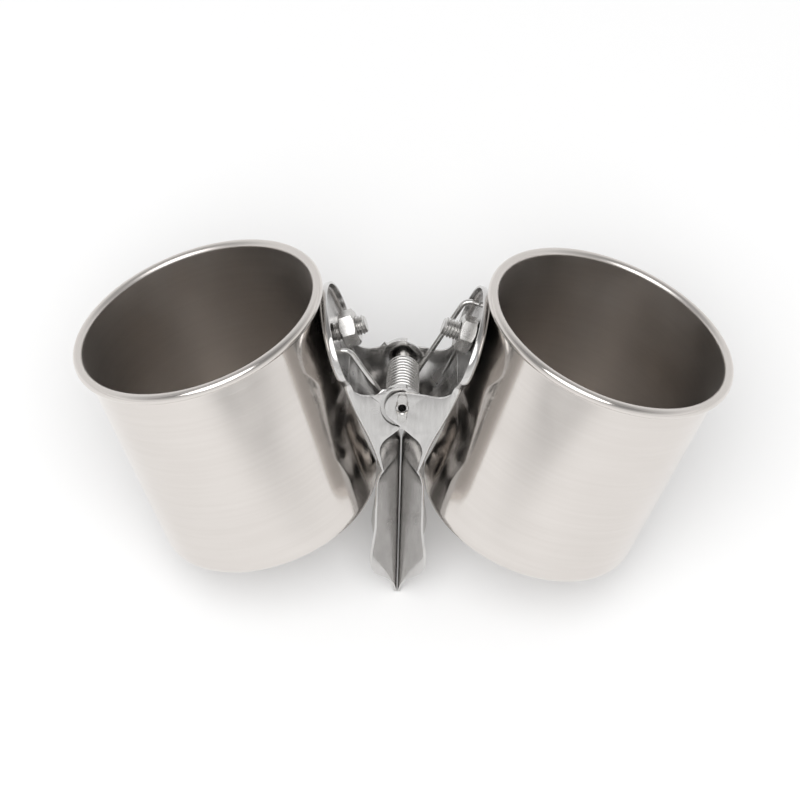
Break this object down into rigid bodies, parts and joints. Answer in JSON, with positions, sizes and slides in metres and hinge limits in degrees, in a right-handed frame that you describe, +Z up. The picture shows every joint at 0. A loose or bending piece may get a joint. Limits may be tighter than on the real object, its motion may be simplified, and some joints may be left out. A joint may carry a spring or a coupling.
{
  "type": "double seed cup with spring clip",
  "caption": "Steel seed cups with rolled rims, bolted to the handles of a sprung clip whose long jaws grip a cage bar or tray edge.",
  "frame": {"origin": "on the surface it rests on, under the middle of its box", "axes": "+X from the left cup to the right cup, +Y to the back, +Z up"},
  "size_m": [0.202, 0.0998, 0.1024],
  "materials": {
    "cup": "mirror-polished stainless steel",
    "clip": "polished stainless sheet",
    "spring": "drawn stainless wire",
    "fastener": "machined stainless steel"
  },
  "bodies": {
    "left_side": {"left_lever": "clip", "left_cup": "cup", "left_cup_bolt": "fastener", "left_cup_nut": "fastener", "pivot_pin": "clip", "torsion_spring": "spring"},
    "right_side": {"right_lever": "clip", "right_cup": "cup", "right_cup_bolt": "fastener", "right_cup_nut": "fastener"}
  },
  "joints": [
    {"name": "clip_open", "type": "hinge", "parent": "left_side", "child": "right_side", "pos_m": [0, 0.00346, 0.06107], "axis": [0, -0.8004, 0.5994], "range_deg": [0, 30], "stiffness_Nm_per_rad": 0.29, "springref_deg": -100.27, "deforming": ["torsion_spring"]}
  ]
}
